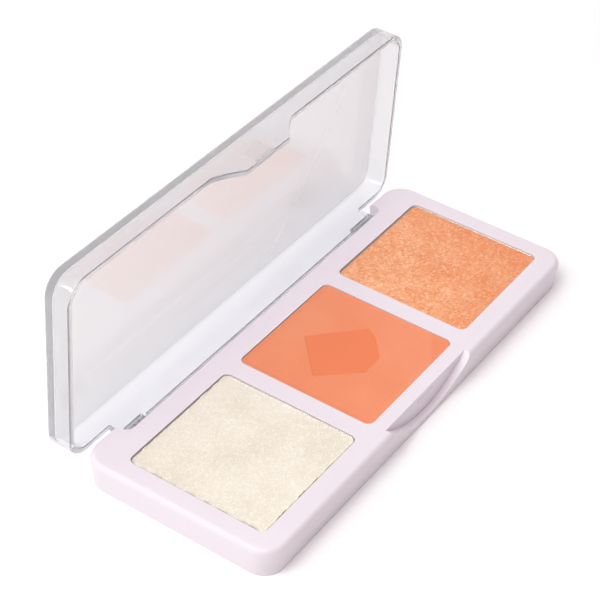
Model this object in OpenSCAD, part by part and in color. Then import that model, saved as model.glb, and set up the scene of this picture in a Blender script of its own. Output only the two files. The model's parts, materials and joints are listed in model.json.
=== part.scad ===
// Three-pan face powder palette with a clear hinged lid, drawn standing open.
// Millimetres. X runs left to right, Y from the thumb notch to the hinge, Z up.
// The origin is the middle of the underside.

/* [Case] */
// Length of the case, left to right
case_length = 121; // [101:1:146]
// Width of the case, front to back
case_width = 47.6; // [39.6:0.2:57.2]
// Height of the tray without the lid
tray_height = 7.4; // [6.2:0.1:9]
// Corner radius of the case seen from above
corner_radius = 5.4; // [4.4:0.2:6.6]
// Rounding along the tray's upper edge
edge_round = 1.2; // [0.6:0.1:1.5]
// Narrowing of each side from the rounding down to the underside
wall_draft = 0.6; // [0.2:0.1:1]

/* [Wells] */
// Deck left of the first well and right of the last one
side_margin = 4.9; // [4:0.1:6]
// Deck between the front of the case and the wells
front_margin = 5.3; // [4.4:0.1:6.4]
// Deck between the wells and the hinge recess
back_land = 4.95; // [4:0.05:6]
// Deck between neighbouring wells
well_gap = 4.6; // [3.8:0.1:5.6]
// Depth of a well below the deck
well_depth = 3.4; // [2.9:0.1:3.9]
// Corner radius of a well
well_corner = 1.7; // [1.2:0.1:2.2]
// Thickness of the floor under a well
well_floor = 1.2; // [1:0.1:1.4]

/* [Pans and powder] */
// Play between a pan and its well, on each side
pan_play = 0.1; // [0.05:0.05:0.3]
// Sheet thickness of a pan
pan_sheet = 0.25; // [0.2:0.05:0.4]
// Distance of a pan's rim below the deck
pan_drop = 0.3; // [0.2:0.05:0.6]
// Distance of the powder below the pan's rim
powder_drop = 0.1; // [0.05:0.05:0.3]
// Depth of the shape pressed into the middle powder
motif_depth = 0.15; // [0.05:0.05:0.3]
// Size of the shape pressed into the middle powder, as a share of the well
motif_share = 0.58; // [0.4:0.02:0.7]
// Thickness of the adhesive pad under a pan
pad_thickness = 0.15; // [0.1:0.05:0.25]

/* [Lid] */
// Outer depth of the lid
lid_depth = 6.2; // [5.2:0.1:7.4]
// Thickness of the lid's walls
lid_wall = 1.4; // [1.2:0.1:1.6]
// Thickness of the lid's panel
lid_panel = 1.6; // [1.3:0.1:1.9]
// Rounding along the panel's outer edge
lid_round = 0.7; // [0.4:0.1:0.9]
// Distance of the lid's back wall inside the back of the tray
lid_setback = 1.4; // [0.8:0.1:1.4]
// Gap between the tray and the closed lid's rim
rim_gap = 0.2; // [0.1:0.05:0.4]
// Opening angle of the lid as drawn
open_angle = 89; // [0:1:96]

/* [Hinge] */
// Length of each knuckle
knuckle_length = 7.4; // [6.2:0.1:8.8]
// Outer radius of a knuckle
knuckle_radius = 1.4; // [1.2:0.05:1.65]
// Diameter of the steel pins
pin_diameter = 1.2; // [1:0.05:1.4]
// Radial play of a pin in its knuckle
pin_play = 0.05; // [0.03:0.01:0.08]
// Length of a pin held in the tray
pin_hold = 5.5; // [4:0.5:6.5]
// Distance of a pin's end inside its knuckle's inner face
pin_inset = 0.3; // [0.2:0.1:1]
// Solid block left at each end of the hinge recess
block_length = 11.5; // [10:0.1:13.5]
// Gap between a knuckle and the block beside it
end_gap = 1.2; // [0.6:0.1:1.6]
// Gap between a knuckle and the wall of the recess
recess_gap = 0.7; // [0.5:0.05:1]
// Drop from the lid's lower back edge to the ledge that stops the open lid
stop_drop = 0.35; // [0.3:0.05:0.5]

/* [Latch] */
// Half the width of the thumb notch at the deck
notch_half = 16.2; // [14.6:0.1:19.4]
// Thickness of the tray left under the thumb notch
notch_floor = 1.6; // [1.3:0.1:2.2]
// Depth of the thumb notch from the front
notch_depth = 1.95; // [1.9:0.05:2.2]
// Reach of the lid's latch tongue below the deck, as a share of the notch's height
tongue_share = 0.69; // [0.6:0.01:0.72]
// Length of the catch ridge and of the bead that snaps under it
catch_length = 6; // [4:0.5:8]

/* [Underside] */
// Thickness of the cover that closes the underside
cover_thickness = 1; // [0.8:0.1:1.1]
// Width of the tray's rim around the cover
cover_border = 2.4; // [2:0.1:3]
// Play around the cover
cover_play = 0.1; // [0.05:0.05:0.2]

/* [Hidden] */
$fn = 96;
hair = 0.01;
past = 1;
half_length = case_length / 2;
half_width = case_width / 2;

corner_spare = 0.3;
recess_depth = 2 * knuckle_radius + recess_gap;
recess_half = half_length - block_length;
recess_corner = end_gap + recess_gap + corner_spare;
knuckle_start = recess_half - end_gap - knuckle_length;
hinge_y = half_width - knuckle_radius;
hinge_lift = 0.1;
hinge_z = tray_height / 2 + hinge_lift;
ledge_gap = 0.3;
ledge_height = hinge_z - knuckle_radius - ledge_gap;
stop_height = hinge_z - max(knuckle_radius - lid_setback, 0) - stop_drop;
stop_half = knuckle_start - end_gap;

well_length = (case_length - 2 * side_margin - 2 * well_gap) / 3;
well_width = case_width - front_margin - back_land - recess_depth;
well_pitch = well_length + well_gap;
well_y = -half_width + front_margin + well_width / 2;
well_bottom = tray_height - well_depth;

pan_length = well_length - 2 * pan_play;
pan_width = well_width - 2 * pan_play;
pan_corner = well_corner - pan_play;
pan_bottom = well_bottom + pad_thickness;
pan_top = tray_height - pan_drop;
powder_bottom = pan_bottom + pan_sheet;
powder_top = pan_top - powder_drop;
motif_shift = 0.6;
pad_share = 0.66;
pad_corner = 2;

rim_height = tray_height + rim_gap;
lid_top = rim_height + lid_depth;
lid_width = case_width - lid_setback;
lid_back = half_width - lid_setback;
panel_inside = lid_top - lid_panel;

notch_height = tray_height - notch_floor;
notch_radius = (notch_half * notch_half + notch_height * notch_height) / (2 * notch_height);
notch_wall = -half_width + notch_depth;
tongue_height = rim_gap + tongue_share * notch_height;
tongue_root = 14.8;
tongue_curve = 26;
tongue_side = 24.3;
tongue_lift = 24.2;
ridge_radius = 0.4;
ridge_rise = 0.25;
ridge_share = 0.276;
bead_rise = 0.2;
bead_share = 0.466;
ridge_z = tray_height - ridge_share * notch_height;
bead_z = tray_height - bead_share * notch_height;

cover_corner = corner_radius - 1;
cavity_wall = 1.4;
cavity_length = case_length - 2 * (cover_border + cavity_wall);
cavity_top = well_bottom - well_floor;

// Rectangle with round corners, centred.
module round_rect(length, width, radius) {
    square([length - 2 * radius, width], center = true);
    square([length, width - 2 * radius], center = true);
    for (x = [-1, 1], y = [-1, 1])
        translate([x * (length / 2 - radius), y * (width / 2 - radius)])
            circle(r = radius);
}

// Cross-section of a case edge: X outwards from the corner's centre, Y up.
module edge_section(height, rounding, draft) {
    shoulder = height - rounding;
    polygon([[0, 0], [corner_radius - draft, 0], [corner_radius, shoulder], [0, shoulder]]);
    square([corner_radius - rounding, height]);
    translate([corner_radius - rounding, shoulder])
        intersection() {
            circle(r = rounding);
            square(rounding);
        }
}

// Block as long as the case whose four edges follow edge_section.
module case_block(width, height, rounding, draft) {
    inner_length = case_length - 2 * corner_radius;
    inner_width = width - 2 * corner_radius;
    translate([-inner_length / 2, -inner_width / 2, 0])
        cube([inner_length, inner_width, height]);
    for (turn = [0, 180])
        rotate([0, 0, turn]) {
            translate([inner_length / 2, inner_width / 2, 0])
                rotate([90, 0, 0])
                    linear_extrude(inner_width)
                        edge_section(height, rounding, draft);
            translate([-inner_length / 2, inner_width / 2, 0])
                rotate([90, 0, 90])
                    linear_extrude(inner_length)
                        edge_section(height, rounding, draft);
            translate([inner_length / 2, inner_width / 2, 0])
                rotate_extrude(angle = 90)
                    edge_section(height, rounding, draft);
            translate([-inner_length / 2, inner_width / 2, 0])
                rotate([0, 0, 90])
                    rotate_extrude(angle = 90)
                        edge_section(height, rounding, draft);
        }
}

// Rod along X, centred on X.
module rod(radius, length) {
    rotate([0, 90, 0])
        cylinder(r = radius, h = length, center = true);
}

// Rod along X from the pin's inner end outwards, at the hinge axis on one side.
module pin_rod(side, radius, start, length) {
    translate([side * (start + length / 2), hinge_y, hinge_z])
        rod(radius, length);
}

module at_well(place) {
    translate([place * well_pitch, well_y, 0])
        children();
}

// Turns the lid from closed to the open angle about the hinge axis.
module swung() {
    translate([0, hinge_y, hinge_z])
        rotate([-open_angle, 0, 0])
            translate([0, -hinge_y, -hinge_z])
                children();
}

// Recess along the back; its floor is higher between the knuckles and stops the open lid there.
module hinge_recess() {
    difference() {
        translate([0, half_width, ledge_height])
            linear_extrude(tray_height)
                round_rect(2 * recess_half, 2 * recess_depth, recess_corner);
        translate([-stop_half, 0, 0])
            cube([2 * stop_half, case_width, stop_height]);
    }
}

module tray() {
    color([0.93, 0.88, 0.92])
        difference() {
            union() {
                difference() {
                    case_block(case_width, tray_height, edge_round, wall_draft);
                    hinge_recess();
                    translate([0, -half_width - past, tray_height - notch_height + notch_radius])
                        rotate([-90, 0, 0])
                            cylinder(r = notch_radius, h = notch_depth + past);
                }
                translate([0, notch_wall - ridge_rise + ridge_radius, ridge_z])
                    rod(ridge_radius, catch_length);
            }
            for (place = [-1, 0, 1])
                at_well(place)
                    translate([0, 0, well_bottom])
                        linear_extrude(well_depth + past)
                            round_rect(well_length, well_width, well_corner);
            translate([0, 0, -past])
                linear_extrude(cover_thickness + past)
                    round_rect(case_length - 2 * cover_border, case_width - 2 * cover_border,
                               cover_corner);
            translate([0, well_y, cover_thickness - hair])
                linear_extrude(cavity_top - cover_thickness + hair)
                    round_rect(cavity_length, well_width, well_corner);
            for (side = [-1, 1])
                pin_rod(side, pin_diameter / 2, recess_half - end_gap, end_gap + pin_hold + pin_play);
        }
}

module bottom_cover() {
    color([0.9, 0.86, 0.9])
        linear_extrude(cover_thickness)
            round_rect(case_length - 2 * cover_border - 2 * cover_play,
                       case_width - 2 * cover_border - 2 * cover_play,
                       cover_corner - cover_play);
}

module pan(place) {
    color([0.8, 0.8, 0.8])
        at_well(place)
            translate([0, 0, pan_bottom])
                difference() {
                    linear_extrude(pan_top - pan_bottom)
                        round_rect(pan_length, pan_width, pan_corner);
                    translate([0, 0, pan_sheet])
                        linear_extrude(pan_top - pan_bottom)
                            round_rect(pan_length - 2 * pan_sheet, pan_width - 2 * pan_sheet,
                                       pan_corner - pan_sheet);
                }
}

module powder(place) {
    at_well(place)
        translate([0, 0, powder_bottom])
            linear_extrude(powder_top - powder_bottom)
                round_rect(pan_length - 2 * pan_sheet, pan_width - 2 * pan_sheet,
                           pan_corner - pan_sheet);
}

// Plain six-sided shape, pressed into the middle powder.
module motif() {
    size = motif_share * well_width / 2;
    polygon([[-1.1 * size, 0.1 * size], [-0.1 * size, size], [size, 0], [0.85 * size, -0.3 * size],
             [0.3 * size, -0.75 * size], [-0.3 * size, -0.75 * size]]);
}

module pan_left() {
    pan(-1);
}

module pan_middle() {
    pan(0);
}

module pan_right() {
    pan(1);
}

module powder_left() {
    color([0.95, 0.9, 0.82])
        powder(-1);
}

module powder_middle() {
    color([0.95, 0.56, 0.4])
        difference() {
            powder(0);
            at_well(0)
                translate([0, motif_shift, powder_top - motif_depth])
                    linear_extrude(past)
                        motif();
        }
}

module powder_right() {
    color([0.92, 0.6, 0.44])
        powder(1);
}

module pan_pads() {
    color([0.98, 0.98, 0.95])
        for (place = [-1, 0, 1])
            at_well(place)
                translate([0, 0, well_bottom])
                    linear_extrude(pad_thickness)
                        round_rect(pad_share * pan_length, pad_share * pan_width, pad_corner);
}

module hinge_pins() {
    pin_length = pin_hold + end_gap + knuckle_length - pin_inset;
    color([0.75, 0.75, 0.77])
        for (side = [-1, 1])
            pin_rod(side, pin_diameter / 2, knuckle_start + pin_inset, pin_length);
}

// Tongue outline: X sideways, Y down from the rim.
module tongue_outline() {
    difference() {
        translate([-tongue_root, -hair])
            square([2 * tongue_root, tongue_height + hair]);
        for (side = [-1, 1])
            translate([side * tongue_side, tongue_lift])
                circle(r = tongue_curve);
    }
}

// Ring round the pin, with a web as thick as the wall that carries it.
module knuckle_section() {
    difference() {
        union() {
            circle(r = knuckle_radius);
            translate([-knuckle_radius, 0])
                square([2 * knuckle_radius - lid_setback, panel_inside + hair - hinge_z]);
        }
        circle(r = pin_diameter / 2 + pin_play);
    }
}

module closed_lid() {
    difference() {
        translate([0, -lid_setback / 2, rim_height])
            case_block(lid_width, lid_depth, lid_round, 0);
        translate([0, -lid_setback / 2, rim_height - past])
            linear_extrude(panel_inside - rim_height + past)
                round_rect(case_length - 2 * lid_wall, lid_width - 2 * lid_wall,
                           corner_radius - lid_wall);
    }
    for (side = [-1, 1])
        translate([side * (knuckle_start + knuckle_length / 2) - knuckle_length / 2, hinge_y, hinge_z])
            rotate([90, 0, 90])
                linear_extrude(knuckle_length)
                    knuckle_section();
    translate([-knuckle_start, lid_back - lid_wall, hinge_z])
        cube([2 * knuckle_start, lid_wall, rim_height + hair - hinge_z]);
    translate([0, -half_width + lid_wall, rim_height])
        rotate([90, 0, 0])
            linear_extrude(lid_wall)
                mirror([0, 1])
                    tongue_outline();
    translate([0, -half_width + lid_wall + bead_rise - ridge_radius, bead_z])
        rod(ridge_radius, catch_length);
}

module lid() {
    color([0.85, 0.86, 0.9, 0.35])
        swung()
            closed_lid();
}

tray();
bottom_cover();
pan_left();
pan_middle();
pan_right();
powder_left();
powder_middle();
powder_right();
pan_pads();
hinge_pins();
lid();
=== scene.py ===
import json
import math

import bmesh
import bpy
import numpy as np
from mathutils import Matrix, Vector


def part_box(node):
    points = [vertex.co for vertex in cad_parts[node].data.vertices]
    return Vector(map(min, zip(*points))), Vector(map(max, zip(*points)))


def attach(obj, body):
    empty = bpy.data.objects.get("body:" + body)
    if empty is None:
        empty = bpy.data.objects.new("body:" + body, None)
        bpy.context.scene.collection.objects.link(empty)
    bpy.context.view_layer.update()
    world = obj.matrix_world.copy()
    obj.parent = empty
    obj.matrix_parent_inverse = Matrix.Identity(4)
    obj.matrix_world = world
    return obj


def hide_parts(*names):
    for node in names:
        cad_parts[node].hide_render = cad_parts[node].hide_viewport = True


# Face powder palette: three pressed powders in a lilac tray under a clear lid on two pins.
# The scene is in metres, and the dictionaries are in millimetres and degrees unless a line says otherwise.

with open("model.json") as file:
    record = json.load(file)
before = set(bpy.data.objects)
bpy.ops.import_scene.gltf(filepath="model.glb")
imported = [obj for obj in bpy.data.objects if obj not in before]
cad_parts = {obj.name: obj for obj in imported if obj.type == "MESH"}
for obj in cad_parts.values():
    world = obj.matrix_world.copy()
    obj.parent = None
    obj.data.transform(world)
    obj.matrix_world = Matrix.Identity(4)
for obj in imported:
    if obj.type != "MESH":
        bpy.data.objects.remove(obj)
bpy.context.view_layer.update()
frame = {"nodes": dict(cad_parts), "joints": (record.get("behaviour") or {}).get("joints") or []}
mm = 0.001
# points closer than weldGap become one, and a face with flatCorners or more is a flat end
weldGap = 0.001
flatCorners = 6
print("palette: frame loaded,", len(frame["nodes"]), "parts")


# Helpers for colours, nodes and meshes.

def srgb(code):
    # sRGB hex to the linear colour that the shaders take
    part = np.array([int(code[k:k + 2], 16) for k in (1, 3, 5)]) / 255
    linear = np.where(part <= 0.04045, part / 12.92, ((part + 0.055) / 1.055) ** 2.4)
    return (*linear.tolist(), 1.0)


def addNode(tree, kind, settings=None, links=None):
    # settings are the node's own properties or its sockets, links say which output feeds which socket
    node = tree.nodes.new(kind)
    for key, value in (settings or {}).items():
        if isinstance(key, str) and hasattr(node, key):
            setattr(node, key, value)
        else:
            node.inputs[key].default_value = value
    for key, source in (links or {}).items():
        tree.links.new(source, node.inputs[key])
    return node


def newMaterial(name):
    material = bpy.data.materials.new(name)
    material.use_nodes = True
    material.node_tree.nodes.clear()
    return material, material.node_tree


def setRamp(node, stops):
    # stops are (place, colour) pairs
    ramp = node.color_ramp
    while len(ramp.elements) < len(stops):
        ramp.elements.new(0.5)
    for element, (place, colour) in zip(ramp.elements, stops):
        element.position = place
        element.color = colour


def dress(piece, material):
    piece.data.materials.clear()
    piece.data.materials.append(material)


def boxOf(nodeName):
    low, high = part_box(nodeName)
    return np.array(low) / mm, np.array(high) / mm


def buildPiece(name, points, faces, sharpAngle=32, fields=None):
    # points in millimetres; seams are merged, faces turned outwards and edges past sharpAngle kept
    # crisp; fields are named values for the points, which a material can read
    mesh = bpy.data.meshes.new(name)
    mesh.from_pydata(points * mm, [], faces)
    for key, values in (fields or {}).items():
        mesh.attributes.new(key, "FLOAT", "POINT").data.foreach_set("value", values.astype(np.float32))
    tidy = bmesh.new()
    tidy.from_mesh(mesh)
    bmesh.ops.remove_doubles(tidy, verts=tidy.verts, dist=weldGap * mm)
    bmesh.ops.recalc_face_normals(tidy, faces=tidy.faces)
    tidy.to_mesh(mesh)
    tidy.free()
    mesh.shade_smooth()
    mesh.set_sharp_from_angle(angle=math.radians(sharpAngle))
    for face in mesh.polygons:
        face.use_smooth = len(face.vertices) < flatCorners
    piece = bpy.data.objects.new(name, mesh)
    bpy.context.scene.collection.objects.link(piece)
    return piece


def roundedLoop(halfX, halfY, corner, turnSteps=10, frontStops=(), backStops=()):
    # A rounded rectangle, anticlockwise: a point of the loop is base + normal * distance, where
    # distance is the corner radius less the inset. Stops are extra x places on the long sides.
    innerX, innerY = halfX - corner, halfY - corner
    angles = np.linspace(0, np.pi / 2, turnSteps + 1)
    back = np.sort(np.array(backStops, float))[::-1]
    front = np.sort(np.array(frontStops, float))
    bases, normals = [], []
    for quarter, (x, y) in enumerate([(1, 1), (-1, 1), (-1, -1), (1, -1)]):
        turned = angles + quarter * np.pi / 2
        bases.append(np.tile([x * innerX, y * innerY], (turnSteps + 1, 1)))
        normals.append(np.stack([np.cos(turned), np.sin(turned)], 1))
        stops, side = {0: (back, 1), 2: (front, -1)}.get(quarter, (np.array([]), 0))
        if len(stops):
            bases.append(np.stack([stops, np.full(len(stops), side * innerY)], 1))
            normals.append(np.tile([0, side], (len(stops), 1)))
    return np.concatenate(bases), np.concatenate(normals).astype(float)


def sweepLoop(base, normal, corner, inset, height):
    # A profile carried round the loop. inset and height are one row for each loop point and one
    # column for each profile point; the two ends of the profile are closed with flat faces.
    count = len(base)
    inset = np.broadcast_to(inset, (count, np.shape(inset)[-1]))
    height = np.broadcast_to(height, inset.shape)
    flat = base[:, None, :] + normal[:, None, :] * (corner - inset)[:, :, None]
    points = np.concatenate([flat, height[:, :, None]], 2).reshape(-1, 3)
    rings = inset.shape[1]
    row, col = np.meshgrid(np.arange(count), np.arange(rings - 1), indexing="ij")
    ahead = (row + 1) % count
    quads = np.stack([row * rings + col, ahead * rings + col, ahead * rings + col + 1,
                      row * rings + col + 1], 2).reshape(-1, 4)
    first = np.arange(count) * rings
    return points, quads.tolist() + [first.tolist(), (first + rings - 1)[::-1].tolist()]


def arc(centre, radius, start, end, steps):
    # points on a circle from angle start to end, in degrees, as (inset, height) rows
    angle = np.radians(np.linspace(start, end, steps + 1))
    return np.stack([centre[0] - radius * np.cos(angle), centre[1] + radius * np.sin(angle)], 1)


def mergedCopy(nodeName, pieceName, spec):
    # a copy of a CAD part with its loose triangles joined and its flat faces made whole
    mesh = frame["nodes"][nodeName].data.copy()
    mesh.name = pieceName
    if "custom_normal" in mesh.attributes:
        mesh.attributes.remove(mesh.attributes["custom_normal"])
    tidy = bmesh.new()
    tidy.from_mesh(mesh)
    bmesh.ops.remove_doubles(tidy, verts=tidy.verts, dist=spec["weld"] * mm)
    bmesh.ops.dissolve_limit(tidy, angle_limit=math.radians(spec["flatAngle"]), verts=tidy.verts,
                             edges=tidy.edges)
    tidy.to_mesh(mesh)
    tidy.free()
    mesh.shade_smooth()
    mesh.set_sharp_from_angle(angle=math.radians(spec["crease"]))
    piece = bpy.data.objects.new(pieceName, mesh)
    bpy.context.scene.collection.objects.link(piece)
    return piece


# One function for each real finish. Texture scales are per metre.

def mouldedAbs(name, colour, grain):
    # Injection-moulded ABS from a finely sparked mould: a satin face, soft edges that let a little
    # light in, and a faint unevenness in the gloss.
    material, tree = newMaterial(name)
    place = addNode(tree, "ShaderNodeTexCoord")
    # flow marks about 30 mm across and a sparked grain, drawn at 0.4 mm so that it shows
    flow = addNode(tree, "ShaderNodeTexNoise", {"Scale": 33, "Detail": 2},
                   {"Vector": place.outputs["Object"]})
    spark = addNode(tree, "ShaderNodeTexNoise", {"Scale": 2500, "Detail": 2},
                    {"Vector": place.outputs["Object"]})
    gloss = addNode(tree, "ShaderNodeMapRange", {"To Min": 0.34, "To Max": 0.46},
                    {"Value": flow.outputs["Fac"]})
    bump = addNode(tree, "ShaderNodeBump", {"Strength": grain, "Distance": 0.02 * mm},
                   {"Height": spark.outputs["Fac"]})
    tint = addNode(tree, "ShaderNodeValToRGB", None, {"Fac": flow.outputs["Fac"]})
    setRamp(tint, [(0.3, srgb(colour[0])), (0.7, srgb(colour[1]))])
    shader = addNode(tree, "ShaderNodeBsdfPrincipled",
                     {"IOR": 1.54, "Subsurface Weight": 0.15, "Subsurface Scale": 1.2 * mm,
                      "Subsurface Radius": (1.0, 0.8, 0.9)},
                     {"Base Color": tint.outputs["Color"], "Roughness": gloss.outputs["Result"],
                      "Normal": bump.outputs["Normal"]})
    addNode(tree, "ShaderNodeOutputMaterial", None, {"Surface": shader.outputs["BSDF"]})
    return material


def clearSan(name):
    # Polished injection-moulded SAN: clear with a lilac cast where the light runs along the wall,
    # bright edges, and a very slight ripple from the mould.
    material, tree = newMaterial(name)
    place = addNode(tree, "ShaderNodeTexCoord")
    # the ripple of the panel is about 12 mm from crest to crest
    ripple = addNode(tree, "ShaderNodeTexNoise", {"Scale": 80, "Detail": 1},
                     {"Vector": place.outputs["Object"]})
    bump = addNode(tree, "ShaderNodeBump", {"Strength": 0.1, "Distance": 0.05 * mm},
                   {"Height": ripple.outputs["Fac"]})
    # the plastic is a little hazy, and most of all where it is seen edge on
    edgeOn = addNode(tree, "ShaderNodeLayerWeight", {"Blend": 0.5})
    clearness = addNode(tree, "ShaderNodeMapRange",
                        {"From Min": 0.4, "From Max": 0.85, "To Min": 0.92, "To Max": 0.35},
                        {"Value": edgeOn.outputs["Facing"]})
    shader = addNode(tree, "ShaderNodeBsdfPrincipled",
                     {"Base Color": srgb("#ECECEE"), "IOR": 1.5, "Roughness": 0.1},
                     {"Normal": bump.outputs["Normal"], "Transmission Weight": clearness.outputs["Result"]})
    # the share of lamp light that comes through, already linear
    through = addNode(tree, "ShaderNodeBsdfTransparent", {"Color": (0.84, 0.84, 0.86, 1)})
    ray = addNode(tree, "ShaderNodeLightPath")
    # lamps shine through the lid, as they do through the real one
    mix = addNode(tree, "ShaderNodeMixShader", None,
                  {0: ray.outputs["Is Shadow Ray"], 1: shader.outputs["BSDF"], 2: through.outputs["BSDF"]})
    depth = addNode(tree, "ShaderNodeVolumeAbsorption", {"Color": srgb("#D9D8E6"), "Density": 6})
    addNode(tree, "ShaderNodeOutputMaterial", None,
            {"Surface": mix.outputs["Shader"], "Volume": depth.outputs["Volume"]})
    return material


def drawnTin(name):
    # Deep-drawn tinplate: a bright grey metal with fine drawing lines that soften its glints.
    material, tree = newMaterial(name)
    place = addNode(tree, "ShaderNodeTexCoord")
    # drawing lines lie along the depth, 0.2 mm apart
    stretch = addNode(tree, "ShaderNodeMapping", {"Scale": (5000, 5000, 300)},
                      {"Vector": place.outputs["Object"]})
    lines = addNode(tree, "ShaderNodeTexNoise", {"Scale": 1, "Detail": 2},
                    {"Vector": stretch.outputs["Vector"]})
    gloss = addNode(tree, "ShaderNodeMapRange", {"To Min": 0.16, "To Max": 0.34},
                    {"Value": lines.outputs["Fac"]})
    shader = addNode(tree, "ShaderNodeBsdfPrincipled",
                     {"Base Color": srgb("#DAD6CC"), "Metallic": 1.0},
                     {"Roughness": gloss.outputs["Result"]})
    addNode(tree, "ShaderNodeOutputMaterial", None, {"Surface": shader.outputs["BSDF"]})
    return material


def groundSteel(name):
    # Centreless-ground steel wire: grinding lines run round the pin and smear its highlight.
    material, tree = newMaterial(name)
    place = addNode(tree, "ShaderNodeTexCoord")
    stretch = addNode(tree, "ShaderNodeMapping", {"Scale": (8000, 400, 400)},
                      {"Vector": place.outputs["Object"]})
    lines = addNode(tree, "ShaderNodeTexNoise", {"Scale": 1, "Detail": 2},
                    {"Vector": stretch.outputs["Vector"]})
    gloss = addNode(tree, "ShaderNodeMapRange", {"To Min": 0.18, "To Max": 0.36},
                    {"Value": lines.outputs["Fac"]})
    shader = addNode(tree, "ShaderNodeBsdfPrincipled",
                     {"Base Color": srgb("#C9C9CC"), "Metallic": 1.0},
                     {"Roughness": gloss.outputs["Result"]})
    addNode(tree, "ShaderNodeOutputMaterial", None, {"Surface": shader.outputs["BSDF"]})
    return material


def foamTape(name):
    # White acrylic foam tape: matte with small open cells, about 0.3 mm.
    material, tree = newMaterial(name)
    place = addNode(tree, "ShaderNodeTexCoord")
    cells = addNode(tree, "ShaderNodeTexVoronoi", {"Scale": 3300}, {"Vector": place.outputs["Object"]})
    # the cells' hollows are drawn darker, a painted shade in them
    tint = addNode(tree, "ShaderNodeValToRGB", None, {"Fac": cells.outputs["Distance"]})
    setRamp(tint, [(0.0, srgb("#E9E8E2")), (0.7, srgb("#F7F6F2"))])
    bump = addNode(tree, "ShaderNodeBump", {"Strength": 0.4, "Distance": 0.05 * mm},
                   {"Height": cells.outputs["Distance"]})
    shader = addNode(tree, "ShaderNodeBsdfPrincipled", {"IOR": 1.47, "Roughness": 0.85},
                     {"Base Color": tint.outputs["Color"], "Normal": bump.outputs["Normal"]})
    addNode(tree, "ShaderNodeOutputMaterial", None, {"Surface": shader.outputs["BSDF"]})
    return material


def pressedPowder(name, look):
    # Talc and mica pressed under a cloth-faced die: a soft matte cake, with flakes of mica
    # at different heights whose faces flash and whose edges catch the light. The flash is a painted glint
    # in the colour, and the darker pit colour is painted shade.
    material, tree = newMaterial(name)
    place = addNode(tree, "ShaderNodeTexCoord")
    cloud = addNode(tree, "ShaderNodeTexNoise", {"Scale": 1000 / look["cloudSize"], "Detail": 4},
                    {"Vector": place.outputs["Object"]})
    base = addNode(tree, "ShaderNodeValToRGB", None, {"Fac": cloud.outputs["Fac"]})
    setRamp(base, [(0.35, srgb(look["shade"])), (0.65, srgb(look["light"]))])
    # one mica flake to a cell, each with its own random colour value
    flake = addNode(tree, "ShaderNodeTexVoronoi", {"Scale": 1000 / look["flakeSize"]},
                    {"Vector": place.outputs["Object"]})
    draw = addNode(tree, "ShaderNodeSeparateColor", None, {"Color": flake.outputs["Color"]})
    # a few flakes take the flash colour, a painted glint, and a few the pit colour, painted shade in the
    # pits between flakes
    bright = addNode(tree, "ShaderNodeMapRange",
                     {"From Min": look["flakeRare"], "From Max": 1.0, "To Max": look["flakeLight"]},
                     {"Value": draw.outputs["Red"]})
    dark = addNode(tree, "ShaderNodeMapRange",
                   {"From Min": look["flakeRare"], "From Max": 1.0, "To Max": look["flakeDark"]},
                   {"Value": draw.outputs["Green"]})
    lit = addNode(tree, "ShaderNodeMix", {"data_type": "RGBA", 7: srgb(look["flash"])},
                  {0: bright.outputs["Result"], 6: base.outputs["Color"]})
    shadedPits = addNode(tree, "ShaderNodeMix", {"data_type": "RGBA", 7: srgb(look["pitShade"])},
                   {0: dark.outputs["Result"], 6: lit.outputs[2]})
    # short curved strokes left by a brush: real marks, drawn lighter in the flash colour as a painted sheen
    brush = addNode(tree, "ShaderNodeTexNoise",
                    {"Scale": 1000 / look["strokeSize"], "Detail": 2, "Distortion": 1.5},
                    {"Vector": place.outputs["Object"]})
    stroke = addNode(tree, "ShaderNodeValToRGB", None, {"Fac": brush.outputs["Fac"]})
    setRamp(stroke, [(0.455, (0, 0, 0, 1)), (0.5, (look["stroke"],) * 3 + (1,)), (0.545, (0, 0, 0, 1))])
    brushed = addNode(tree, "ShaderNodeMix", {"data_type": "RGBA", 7: srgb(look["flash"])},
                      {0: stroke.outputs["Color"], 6: shadedPits.outputs[2]})
    # where the die's motif pressed harder, the cake is denser and deeper in colour; the same field and
    # colour also lay the painted shade and sheen across the copper cake
    motifAndShade = addNode(tree, "ShaderNodeAttribute", {"attribute_name": "pressed"})
    denseAndShade = addNode(tree, "ShaderNodeMix", {"data_type": "RGBA", 7: srgb(look["denseAndShade"])},
                    {0: motifAndShade.outputs["Fac"], 6: brushed.outputs[2]})
    tilt = addNode(tree, "ShaderNodeBump", {"Strength": look["tilt"], "Distance": 0.05 * mm},
                   {"Height": draw.outputs["Blue"]})
    grainSize = 0.5
    grain = addNode(tree, "ShaderNodeTexNoise", {"Scale": 1000 / grainSize, "Detail": 3},
                    {"Vector": place.outputs["Object"]})
    bump = addNode(tree, "ShaderNodeBump", {"Strength": look["grain"], "Distance": 0.06 * mm},
                   {"Height": grain.outputs["Fac"], "Normal": tilt.outputs["Normal"]})
    shader = addNode(tree, "ShaderNodeBsdfPrincipled",
                     {"IOR": 1.5, "Roughness": look["roughness"], "Metallic": look["metallic"],
                      "Sheen Weight": look["sheen"], "Sheen Roughness": 0.5},
                     {"Base Color": denseAndShade.outputs[2], "Normal": bump.outputs["Normal"]})
    addNode(tree, "ShaderNodeOutputMaterial", None, {"Surface": shader.outputs["BSDF"]})
    return material


# The tray keeps its CAD shape, with its edges softened.
traySpec = {"edgeRound": 0.3, "roundSteps": 3, "weld": 0.002, "flatAngle": 0.3, "crease": 28,
            "satin": ("#E3DAE1", "#E6DDE4"), "grain": 0.25}

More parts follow.
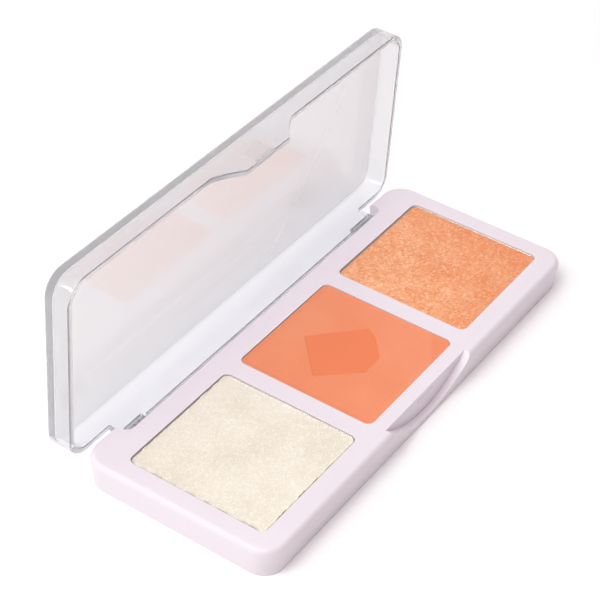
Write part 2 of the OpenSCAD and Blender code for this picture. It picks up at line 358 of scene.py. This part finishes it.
tray = mergedCopy("tray", "tray_shell", traySpec)
soften = tray.modifiers.new("moulded edges", "BEVEL")
soften.width = traySpec["edgeRound"] * mm
soften.segments = traySpec["roundSteps"]
soften.limit_method = "ANGLE"
soften.angle_limit = math.radians(traySpec["crease"])
soften.harden_normals = True
dress(tray, mouldedAbs("satin moulded ABS", traySpec["satin"], traySpec["grain"]))
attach(tray, "base")
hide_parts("tray")
print("palette: tray ready")


# The plate that closes the underside. Lead and land are flat steps in from its rounded edge.
coverSpec = {"corner": 4.3, "edgeRound": 0.25, "bendSteps": 4, "lead": 0.05, "land": 0.5,
             "satin": ("#E2D6E1", "#E6DBE5"), "grain": 0.5}


def buildCover(spec):
    # a flat plate with rounded edges: its profile goes from the middle of the top, round the edge,
    # to the middle of the bottom
    low, high = boxOf("bottom_cover")
    halfX, halfY = high[0], high[1]
    base, normal = roundedLoop(halfX, halfY, spec["corner"])
    bend, steps = spec["edgeRound"], spec["bendSteps"]
    lead, land = bend + spec["lead"], bend + spec["land"]
    profile = np.concatenate([
        [[land, high[2]], [lead, high[2]]],
        arc((bend, high[2] - bend), bend, 90, 0, steps),
        arc((bend, low[2] + bend), bend, 0, -90, steps),
        [[lead, low[2]], [land, low[2]]]])
    points, faces = sweepLoop(base, normal, spec["corner"], profile[:, 0], profile[:, 1])
    return buildPiece("cover_plate", points, faces)


cover = buildCover(coverSpec)
dress(cover, mouldedAbs("sparked ABS of the cover", coverSpec["satin"], coverSpec["grain"]))
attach(cover, "base")
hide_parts("bottom_cover")


# The three pans share one drawn shape.
panSpec = {"sheet": 0.25, "corner": 1.6, "footRound": 0.6, "lead": 0.05,
           "cornerSteps": 8, "footSteps": 5, "rimSteps": 8}


def buildPan(nodeName, spec):
    # a drawn sheet: up the outside, over the rounded rim and down the inside to the floor
    low, high = boxOf(nodeName)
    half = (high - low) / 2
    middle = (high + low) / 2
    base, normal = roundedLoop(half[0], half[1], spec["corner"], spec["cornerSteps"])
    sheet, foot, floor = spec["sheet"], spec["footRound"], low[2] + spec["sheet"]
    lead, steps = foot + spec["lead"], spec["footSteps"]
    profile = np.concatenate([
        [[spec["corner"], low[2]], [lead, low[2]]],
        arc((foot, low[2] + foot), foot, -90, 0, steps),
        arc((sheet / 2, high[2] - sheet / 2), sheet / 2, 0, 180, spec["rimSteps"]),
        arc((foot, low[2] + foot), foot - sheet, 0, -90, steps),
        [[lead, floor], [spec["corner"], floor]]])
    points, faces = sweepLoop(base, normal, spec["corner"], profile[:, 0], profile[:, 1])
    return buildPiece(nodeName + "_drawn", points + [*middle[:2], 0], faces)


tinplate = drawnTin("deep-drawn tinplate")
for panName in ("pan_left", "pan_middle", "pan_right"):
    pan = buildPan(panName, panSpec)
    dress(pan, tinplate)
    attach(pan, "base")
    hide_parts(panName)
print("palette: pans ready")


# The powders share one cake shape and differ in look and relief. Sizes are in millimetres, and
# flakeRare is the share of mica cells that stay plain.
creamLook = {"denseAndShade": "#EFE4CF", "shade": "#E0D7C5", "light": "#E8E0D0", "flash": "#FCF9F0",
             "pitShade": "#D6CDBB", "cloudSize": 9, "flakeSize": 0.3, "flakeRare": 0.8,
             "flakeLight": 0.5, "flakeDark": 0.25, "strokeSize": 2.0, "stroke": 0.4,
             "tilt": 0.4, "grain": 0.4, "roughness": 0.55, "metallic": 0.0, "sheen": 0.1}
coralLook = {"denseAndShade": "#E67C4F", "shade": "#E6875D", "light": "#E98E66", "flash": "#EE9670",
             "pitShade": "#E4835A", "cloudSize": 14, "flakeSize": 0.4, "flakeRare": 0.8,
             "flakeLight": 0.2, "flakeDark": 0.12, "strokeSize": 6.0, "stroke": 0.0,
             "tilt": 0.05, "grain": 0.25, "roughness": 0.8, "metallic": 0.0, "sheen": 0.15}
# in copperLook the first colour is the painted shade laid towards the cake's front right corner
copperLook = {"denseAndShade": "#D86A2E", "shade": "#EC9560", "light": "#F2A877", "flash": "#FFD2AC",
              "pitShade": "#D27038", "cloudSize": 7, "flakeSize": 0.42, "flakeRare": 0.6,
              "flakeLight": 0.7, "flakeDark": 0.5, "strokeSize": 1.6, "stroke": 0.35,
              "tilt": 0.7, "grain": 0.6, "roughness": 0.5, "metallic": 0.05, "sheen": 0.0}
# lipOver is how far the cake's edge covers the rim of its pan
powderSpec = {"steps": 180, "corner": 1.35,
              "lipOver": {"powder_left": 0.0, "powder_middle": 0.2, "powder_right": 0.0}}
# the pressed motif: its corners as shares of its size, its slope's width and its depth
motifSpec = {"size": 9.85, "shiftY": 0.6, "slope": 0.25, "depth": 0.12,
             "corners": [(-1.1, 0.1), (-0.1, 1.0), (1.0, 0.0), (0.85, -0.3), (0.3, -0.75), (-0.3, -0.75)]}


def softNoise(seed, x, y, size, octaves=3):
    # Smooth value noise: a seeded lattice of random heights, size mm apart, joined by cubic
    # blends, with each further octave half as wide and half as tall.
    cells, shiftX, shiftY = 97, 40.3, 41.7
    lattice = np.random.default_rng(seed).random((cells, cells))
    total = np.zeros_like(x)
    for octave in range(octaves):
        u, v = x / size * 2 ** octave + shiftX, y / size * 2 ** octave + shiftY
        i, j = np.floor(u).astype(int), np.floor(v).astype(int)
        s, t = u - i, v - j
        s, t = s * s * (3 - 2 * s), t * t * (3 - 2 * t)
        i, j, nextI, nextJ = i % cells, j % cells, (i + 1) % cells, (j + 1) % cells
        near = lattice[i, j] * (1 - s) + lattice[nextI, j] * s
        far = lattice[i, nextJ] * (1 - s) + lattice[nextI, nextJ] * s
        total += (near * (1 - t) + far * t - 0.5) / 2 ** octave
    return total


def roundedGrid(half, corner, steps):
    # A square grid pressed to a rounded rectangle: inside each corner square the grid follows
    # the map of a square to a disc, a' = a * sqrt(1 - b * b / 2), and elsewhere it is straight.
    span = np.linspace(-1, 1, steps + 1)
    x, y = np.meshgrid(span * half[0], span * half[1], indexing="ij")
    a = np.clip((np.abs(x) - half[0] + corner) / corner, 0, 1)
    b = np.clip((np.abs(y) - half[1] + corner) / corner, 0, 1)
    x = x - np.sign(x) * corner * (a - a * np.sqrt(1 - b * b / 2))
    y = y - np.sign(y) * corner * (b - b * np.sqrt(1 - a * a / 2))
    return x, y


def borderDistance(x, y, half, corner):
    # distance from the rounded rectangle's border, inwards
    dx = np.abs(x) - half[0] + corner
    dy = np.abs(y) - half[1] + corner
    outside = np.hypot(np.maximum(dx, 0), np.maximum(dy, 0))
    return corner - outside - np.minimum(np.maximum(dx, dy), 0)


def motifDepth(x, y, spec):
    # 1 well inside the motif and 0 outside, from the distance to the nearest of its sides
    corners = np.array(spec["corners"]) * spec["size"] + [0, spec["shiftY"]]
    sides = np.roll(corners, -1, 0) - corners
    inwards = np.stack([sides[:, 1], -sides[:, 0]], 1) / np.hypot(*sides.T)[:, None]
    offset = np.stack([x, y], 2)[:, :, None, :] - corners
    inside = (offset * inwards).sum(3).min(2)
    step = np.clip(inside / spec["slope"] + 0.5, 0, 1)
    return step * step * (3 - 2 * step)


def buildPowder(nodeName, spec, relief):
    # The cake's top is a height over the grid. Its border goes straight down to the pan's floor,
    # or with a lip down to the pan's rim, in under the lip and then on to the floor.
    low, high = boxOf(nodeName)
    lip = spec["lipOver"][nodeName]
    half, middle = (high - low)[:2] / 2, (high + low) / 2
    x, y = roundedGrid(half + lip, spec["corner"] + lip, spec["steps"])
    # the second field is the share of the deeper colour: the pressed motif, a rubbed corner, and on the
    # copper cake a painted shade
    heave, pressed = relief(x, y, borderDistance(x, y, half + lip, spec["corner"] + lip))
    z = high[2] + heave
    under = boxOf(nodeName.replace("powder", "pan"))[1][2] + 0.02
    tuck = half / (half + lip)
    foot = [(1, 1, under), (*tuck, under), (1, 1, low[2])] if lip else [(1, 1, low[2])]
    for tuckX, tuckY, level in foot:
        x, y, z, pressed = (np.pad(field, 1, mode="edge") for field in (x, y, z, pressed))
        edge = np.pad(np.zeros(np.array(x.shape) - 2, bool), 1, constant_values=True)
        x[edge] *= tuckX
        y[edge] *= tuckY
        z[edge] = level
    side = len(x)
    points = np.stack([x + middle[0], y + middle[1], z], 2).reshape(-1, 3)
    i, j = np.meshgrid(np.arange(side - 1), np.arange(side - 1), indexing="ij")
    first = i * side + j
    quads = np.stack([first, first + side, first + side + 1, first + 1], 2).reshape(-1, 4)
    line = np.arange(side - 1)
    rim = np.concatenate([line * side, (side - 1) * side + line, (side - 1 - line) * side + side - 1,
                          side - 1 - line])
    return buildPiece(nodeName + "_cake", points, quads.tolist() + [rim[::-1].tolist()], 60,
                      {"pressed": pressed.ravel()})


creamCake = {"slant": 0.4, "squash": 3, "streakSize": 2.4, "streakRise": 0.04, "sink": 0.03,
             "raggedSize": 1.6, "raggedBias": 0.15, "raggedRise": 0.6, "lipWidth": 0.35}


def creamRelief(x, y, inward):
    # brushed cake: low streaks, and a ragged lip where the powder was smeared up to the rim
    spec = creamCake
    streaks = softNoise(11, x + spec["slant"] * y, spec["squash"] * y, spec["streakSize"])
    streaks = streaks * spec["streakRise"]
    ragged = np.clip(softNoise(12, x, y, spec["raggedSize"], 4) + spec["raggedBias"], 0, 1)
    ragged = ragged * spec["raggedRise"]
    lip = np.exp(-(inward / spec["lipWidth"]) ** 2)
    return streaks - spec["sink"] + lip * ragged, np.zeros_like(x)


# the rubbed corner begins rubFrom out from the middle along the direction rubX, rubY
coralCake = {"waveSize": 3.0, "waveRise": 0.012, "swellRise": 0.2, "swellWidth": 1.2, "edgeWidth": 0.25,
             "edgeShare": 0.75, "rubX": 0.52, "rubY": -0.86, "rubFrom": 18.4, "rubWidth": 0.5,
             "rubShare": 0.4}


def coralRelief(x, y, inward):
    # a smooth cake that swells over its rim, with the motif sunk in the middle and one corner
    # rubbed deeper in colour
    spec = coralCake
    pressed = motifDepth(x, y, motifSpec)
    bulge = np.clip(1 - inward / spec["swellWidth"], 0, 1)
    swell = spec["swellRise"] * bulge * np.clip(inward / spec["edgeWidth"], spec["edgeShare"], 1)
    out = spec["rubX"] * x + spec["rubY"] * y - spec["rubFrom"]
    rubbed = spec["rubShare"] * np.clip(out / spec["rubWidth"], 0, 1)
    waves = softNoise(21, x, y, spec["waveSize"]) * spec["waveRise"]
    return waves + swell - motifSpec["depth"] * pressed, np.maximum(pressed, rubbed)


# the last five entries set the copper cake's painted shade, which deepens its colour towards its front
# right corner
copperCake = {"pitSize": 0.8, "pitRise": 0.06, "sink": 0.03, "edgeDrop": 0.05, "edgeWidth": 0.3,
              "shadeSpan": 40, "shadeBase": 0.4, "shadeWave": 0.5, "shadeSize": 9.0, "shadeShare": 0.36}


def copperRelief(x, y, inward):
    # an open, grainy cake with pits; painted shade deepens its colour in patches towards its front right
    # corner, and its back left stays lighter as a painted sheen
    spec = copperCake
    pits = softNoise(31, x, y, spec["pitSize"], 3) * spec["pitRise"]
    patches = spec["shadeWave"] * softNoise(32, x, y, spec["shadeSize"])
    paintedShade = np.clip((x - y) / spec["shadeSpan"] + spec["shadeBase"] + patches, 0, 1) * spec["shadeShare"]
    return pits - spec["sink"] - spec["edgeDrop"] * np.exp(-(inward / spec["edgeWidth"]) ** 2), paintedShade


for nodeName, look, relief, slotName in (
        ("powder_left", creamLook, creamRelief, "cream_powder"),
        ("powder_middle", coralLook, coralRelief, "coral_powder"),
        ("powder_right", copperLook, copperRelief, "copper_powder")):
    cake = buildPowder(nodeName, powderSpec, relief)
    dress(cake, pressedPowder("pressed " + slotName.replace("_", " "), look))
    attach(cake, "base")
    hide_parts(nodeName)
print("palette: powders pressed")


# The foam pads keep their CAD shape.
dress(frame["nodes"]["pan_pads"], foamTape("acrylic foam tape"))


# Two steel pins, built after the lid because they start inside its knuckles.
pinSpec = {"chamfer": 0.15, "turnSteps": 32}


def buildPins(spec):
    # a rod turned about X: radius against distance along it, with chamfered ends
    low, high = boxOf("hinge_pins")
    radius = (high[1] - low[1]) / 2
    axisY, axisZ = (low[1] + high[1]) / 2, (low[2] + high[2]) / 2
    outer = high[0]
    inner = lidSpec["skirtHalf"] + lidSpec["pinInset"]
    cut = spec["chamfer"]
    along = np.array([inner, inner, inner + cut, outer - cut, outer, outer])
    spread = np.array([0, radius - cut, radius, radius, radius - cut, 0])
    angle = np.linspace(0, 2 * np.pi, spec["turnSteps"], endpoint=False)
    points, faces = [], []
    for side in (-1, 1):
        ring = np.stack([np.broadcast_to(side * along[:, None], (len(along), len(angle))),
                         axisY + spread[:, None] * np.cos(angle),
                         axisZ + spread[:, None] * np.sin(angle)], 2)
        i, j = np.meshgrid(np.arange(len(along) - 1), np.arange(len(angle)), indexing="ij")
        ahead = (j + 1) % len(angle)
        start = sum(len(block) for block in points)
        quads = np.stack([i * len(angle) + j, (i + 1) * len(angle) + j,
                          (i + 1) * len(angle) + ahead, i * len(angle) + ahead], 2)
        faces += (quads.reshape(-1, 4) + start).tolist()
        points.append(ring.reshape(-1, 3))
    return buildPiece("hinge_pins_ground", np.concatenate(points), faces)


# The lid is shaped closed and then swung open. Crisp is the width of a step in its outline, lead
# and land are flat steps in from a round, and the marks are extra places on the long sides.
lidSpec = {"corner": 5.4, "depth": 6.2, "wall": 1.4, "panel": 1.6, "edgeRound": 0.7, "cornerFillet": 0.5,
           "rimRound": 0.35, "rimGap": 0.2, "skirtHalf": 40.4, "knuckleLength": 7.4, "knuckleRadius": 1.4,
           "pinInset": 0.3, "setback": 1.4,
           "tongueDepth": 4.2, "tongueCurve": 26.0, "tongueX": 24.3, "tongueLift": 24.2,
           "beadRadius": 0.4, "beadRise": 0.2, "beadAbove": 1.3, "beadHalf": 3.0,
           "beadRows": 13, "rowSpread": 0.3, "rowLift": 0.05, "rowStep": 0.02,
           "crisp": 0.01, "lead": 0.03, "land": 0.4, "sharpAngle": 30, "cornerSteps": 14,
           "flankSteps": 29, "edgeSteps": 6, "turnSteps": 10, "filletSteps": 5,
           "frontMarks": (1, 5.4, 20, 35, 50), "backMarks": (52,), "skirtSpan": 36, "skirtSteps": 13}
hinge = next(joint for joint in frame["joints"] if joint["name"] == "lid_hinge")
hingeY, hingeZ = hinge["pos_m"][1] / mm, hinge["pos_m"][2] / mm
openAngle = -hinge["range_deg"][0]


def lidProfile(spec, base, normal, rimZ, topZ):
    # The section of the closed lid at each loop point, from the panel's middle over the outer
    # edge, down the wall, round the rim and back up to the panel's inner face. The rim hangs
    # lower at the tongue, the skirt and the knuckles, and each knuckle is a ring round the axis
    # that bulges past the wall: inset = -radius * sin(2t), height = bottom + radius * (1 + cos(2t)).
    x, side = base[:, 0], normal[:, 1]
    straight = np.abs(side) > 0.999
    front, back = straight & (side < 0), straight & (side > 0)
    reach = np.clip(spec["tongueX"] - np.abs(x), 0, spec["tongueCurve"])
    tongue = spec["tongueLift"] - np.sqrt(spec["tongueCurve"] ** 2 - reach ** 2)
    drop = np.where(front, np.clip(tongue, 0, spec["tongueDepth"]), 0.0)
    start, crisp = spec["skirtHalf"], spec["crisp"]
    end = start + spec["knuckleLength"]
    stops = [start - crisp, start + crisp, end - crisp, end + crisp]
    axisDrop = rimZ - hingeZ
    foot = axisDrop + spec["knuckleRadius"]
    drop = drop + np.where(back, np.interp(np.abs(x), stops, [axisDrop, foot, foot, 0]), 0.0)
    isKnuckle = np.where(back, np.interp(np.abs(x), stops, [0, 1, 1, 0]), 0.0)
    thick = spec["wall"]
    bend = spec["rimRound"] + isKnuckle * (spec["knuckleRadius"] - spec["rimRound"])
    bottom = rimZ - drop

    edge, fillet = spec["edgeRound"], spec["cornerFillet"]
    inside = topZ - spec["panel"]
    fixed = np.concatenate([[[edge + spec["land"], topZ], [edge + spec["lead"], topZ]],
                            arc((edge, topZ - edge), edge, 90, 0, spec["edgeSteps"])])
    turn = np.radians(np.linspace(0, 90, spec["turnSteps"]))
    across, down = 1 - np.cos(turn), 1 - np.sin(turn)
    ring, radius = isKnuckle[:, None], spec["knuckleRadius"]
    count = len(base)
    inset = [np.full((count, 1), value) for value in fixed[:, 0]]
    height = [np.full((count, 1), value) for value in fixed[:, 1]]
    plain = (1 - ring) * bend[:, None]
    inset.append(plain * across[None, :] - ring * radius * np.sin(2 * turn)[None, :])
    height.append(bottom[:, None] + plain * down[None, :] + ring * radius * (1 + np.cos(2 * turn))[None, :])
    inset.append(thick - bend[:, None] * across[None, ::-1])
    height.append(bottom[:, None] + bend[:, None] * down[None, ::-1])
    # the snap bead: a round rod sunk in the tongue's inner face
    rows = spec["beadRows"]
    above = spec["beadAbove"] + spec["beadRadius"] * np.linspace(-1, 1, rows)
    section = np.sqrt(np.clip(spec["beadRadius"] ** 2 - (above - spec["beadAbove"]) ** 2, 0, None))
    section = np.clip(section - spec["beadRadius"] + spec["beadRise"], 0, None)
    onBead = np.where(front & (np.abs(x) <= spec["beadHalf"]), 1.0, 0.0)
    clear = bend + spec["rowLift"]
    lift = np.where(isKnuckle > 0, 0.0, 1.0)[:, None] * above[None, :]
    lift = lift + spec["rowSpread"] * np.arange(rows)[None, :] / rows
    lift = np.maximum(lift, clear[:, None] + spec["rowStep"] * np.arange(rows)[None, :])
    lift = np.where(onBead[:, None] > 0, above[None, :], lift)
    inset.append(thick + onBead[:, None] * section[None, :])
    height.append(bottom[:, None] + lift)
    curve = arc((0, inside - fillet), fillet, 0, 90, spec["filletSteps"])
    inset.append(np.broadcast_to(thick + fillet + curve[None, :, 0], (count, len(curve))))
    height.append(np.broadcast_to(curve[None, :, 1], (count, len(curve))))
    inset.append(np.broadcast_to(thick + fillet + np.array([[spec["lead"], spec["land"]]]), (count, 2)))
    height.append(np.full((count, 2), inside))
    return np.concatenate(inset, 1), np.concatenate(height, 1)


def swing(points, angle):
    # turns closed-lid points about the hinge axis, which lies along X
    turn = math.radians(angle)
    y, z = points[:, 1] - hingeY, points[:, 2] - hingeZ
    return np.stack([points[:, 0], hingeY + y * math.cos(turn) + z * math.sin(turn),
                     hingeZ - y * math.sin(turn) + z * math.cos(turn)], 1)


def buildLid(spec):
    trayHigh = boxOf("tray")[1]
    halfX, halfY = trayHigh[0], trayHigh[1] - spec["setback"] / 2
    rimZ = trayHigh[2] + spec["rimGap"]
    topZ = rimZ + spec["depth"]
    crisp, start = spec["crisp"], spec["skirtHalf"]
    end = start + spec["knuckleLength"]
    edges = np.array([place + shift for place in (start, end) for shift in (-crisp, crisp)])
    backMarks, frontMarks = np.array(spec["backMarks"]), np.array(spec["frontMarks"])
    skirt = np.linspace(-spec["skirtSpan"], spec["skirtSpan"], spec["skirtSteps"])
    backStops = np.concatenate([edges, -edges, skirt, backMarks, -backMarks])
    # the tongue's flanks are two arcs, from their tip to their root
    centreX, curve, lift = spec["tongueX"], spec["tongueCurve"], spec["tongueLift"]
    tip = centreX - math.sqrt(curve ** 2 - (lift - spec["tongueDepth"]) ** 2)
    root = centreX - math.sqrt(curve ** 2 - lift ** 2)
    flank = tip + (root - tip) * np.linspace(0, 1, spec["flankSteps"])
    bead = np.array([spec["beadHalf"], spec["beadHalf"] + crisp])
    frontStops = np.concatenate([flank, -flank, bead, -bead, frontMarks, -frontMarks])
    base, normal = roundedLoop(halfX, halfY, spec["corner"], spec["cornerSteps"], frontStops, backStops)
    inset, height = lidProfile(spec, base, normal, rimZ, topZ)
    points, faces = sweepLoop(base - [0, spec["setback"] / 2], normal, spec["corner"], inset, height)
    return buildPiece("lid_clear", swing(points, openAngle), faces, spec["sharpAngle"])


lid = buildLid(lidSpec)
dress(lid, clearSan("clear moulded SAN"))
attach(lid, "cover_lid")
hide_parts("lid")

pins = buildPins(pinSpec)
dress(pins, groundSteel("ground steel wire"))
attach(pins, "base")
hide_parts("hinge_pins")
print("palette: lid and pins ready")


# Floor, sky, softboxes and camera.
# The sky is a soft wall: dim and warm in front of the palette, bright behind it
stageSpec = {"floorHalf": 3000, "floor": "#FCFCFC", "skyFront": "#AA9C9E", "skyBack": "#FFFFFF",
             "skyPower": 0.9, "skyFrom": 0.2, "skyTo": 0.85,
             "keyFrom": (-0.5, 0.05, 0.85), "keyDistance": 900, "keySize": 450,
             "keyPower": 3.6, "glintFrom": (-0.63, 0.41, 0.66), "glintSize": 150, "glintPower": 0.8,
             "topDistance": 1300, "topSize": 1400, "topPower": 3.35}
cameraSpec = {"azimuth": -58.02, "elevation": 39.26, "roll": 3.66, "lens": 114.08,
              "aim": (5.6, 14.8, 10.0), "distance": 423.8, "sensor": 36, "nearest": 10}


def buildFloor(spec):
    half = spec["floorHalf"]
    points = np.array([[-half, -half, 0], [half, -half, 0], [half, half, 0], [-half, half, 0]], float)
    mesh = bpy.data.meshes.new("floor")
    mesh.from_pydata(points * mm, [], [[0, 1, 2, 3]])
    floor = bpy.data.objects.new("floor", mesh)
    bpy.context.scene.collection.objects.link(floor)
    material, tree = newMaterial("pale painted floor")
    shader = addNode(tree, "ShaderNodeBsdfPrincipled",
                     {"Base Color": srgb(spec["floor"]), "Roughness": 0.9, "Specular IOR Level": 0.2})
    addNode(tree, "ShaderNodeOutputMaterial", None, {"Surface": shader.outputs["BSDF"]})
    dress(floor, material)


def addSoftbox(name, direction, distance, size, power):
    # a square softbox that faces the palette
    lamp = bpy.data.lights.new(name, "AREA")
    lamp.shape = "SQUARE"
    lamp.size = size * mm
    lamp.energy = power
    box = bpy.data.objects.new(name, lamp)
    toward = Vector(direction).normalized()
    box.location = toward * distance * mm
    box.rotation_euler = toward.to_track_quat("Z", "Y").to_euler()
    bpy.context.scene.collection.objects.link(box)


def addSky(spec):
    # the colour goes from the front tone to the back tone with the direction's share along Y
    world = bpy.data.worlds.new("studio")
    bpy.context.scene.world = world
    world.use_nodes = True
    tree = world.node_tree
    tree.nodes.clear()
    look = addNode(tree, "ShaderNodeTexCoord")
    part = addNode(tree, "ShaderNodeSeparateXYZ", None, {"Vector": look.outputs["Generated"]})
    share = addNode(tree, "ShaderNodeMapRange", {"From Min": -1.0, "From Max": 1.0},
                    {"Value": part.outputs["Y"]})
    tone = addNode(tree, "ShaderNodeValToRGB", None, {"Fac": share.outputs["Result"]})
    setRamp(tone, [(spec["skyFrom"], srgb(spec["skyFront"])), (spec["skyTo"], srgb(spec["skyBack"]))])
    light = addNode(tree, "ShaderNodeBackground", {"Strength": spec["skyPower"]},
                    {"Color": tone.outputs["Color"]})
    addNode(tree, "ShaderNodeOutputWorld", None, {"Surface": light.outputs["Background"]})


def addCamera(spec):
    # azimuth 0 looks along +Y, and the roll turns the camera about its own line of sight
    turn, rise, roll = (math.radians(spec[key]) for key in ("azimuth", "elevation", "roll"))
    ahead = Vector((-math.sin(turn) * math.cos(rise), math.cos(turn) * math.cos(rise), -math.sin(rise)))
    level = Vector((ahead.y, -ahead.x, 0)).normalized()
    upright = level.cross(ahead)
    right = level * math.cos(roll) + upright * math.sin(roll)
    up = upright * math.cos(roll) - level * math.sin(roll)
    eye = Vector(spec["aim"]) * mm - ahead * spec["distance"] * mm
    lens = bpy.data.cameras.new("camera")
    lens.lens = spec["lens"]
    lens.sensor_width = spec["sensor"]
    lens.clip_start = spec["nearest"] * mm
    camera = bpy.data.objects.new("camera", lens)
    axes = Matrix((right, up, -ahead)).transposed().to_4x4()
    camera.matrix_world = Matrix.Translation(eye) @ axes
    bpy.context.scene.collection.objects.link(camera)
    bpy.context.scene.camera = camera


buildFloor(stageSpec)
addSoftbox("key softbox", stageSpec["keyFrom"], stageSpec["keyDistance"], stageSpec["keySize"],
           stageSpec["keyPower"])
addSoftbox("glint softbox", stageSpec["glintFrom"], stageSpec["keyDistance"], stageSpec["glintSize"],
           stageSpec["glintPower"])
addSoftbox("top softbox", (0, 0, 1), stageSpec["topDistance"], stageSpec["topSize"], stageSpec["topPower"])
addSky(stageSpec)
bpy.context.scene.view_settings.view_transform = "Standard"
addCamera(cameraSpec)
print("palette: stage ready")
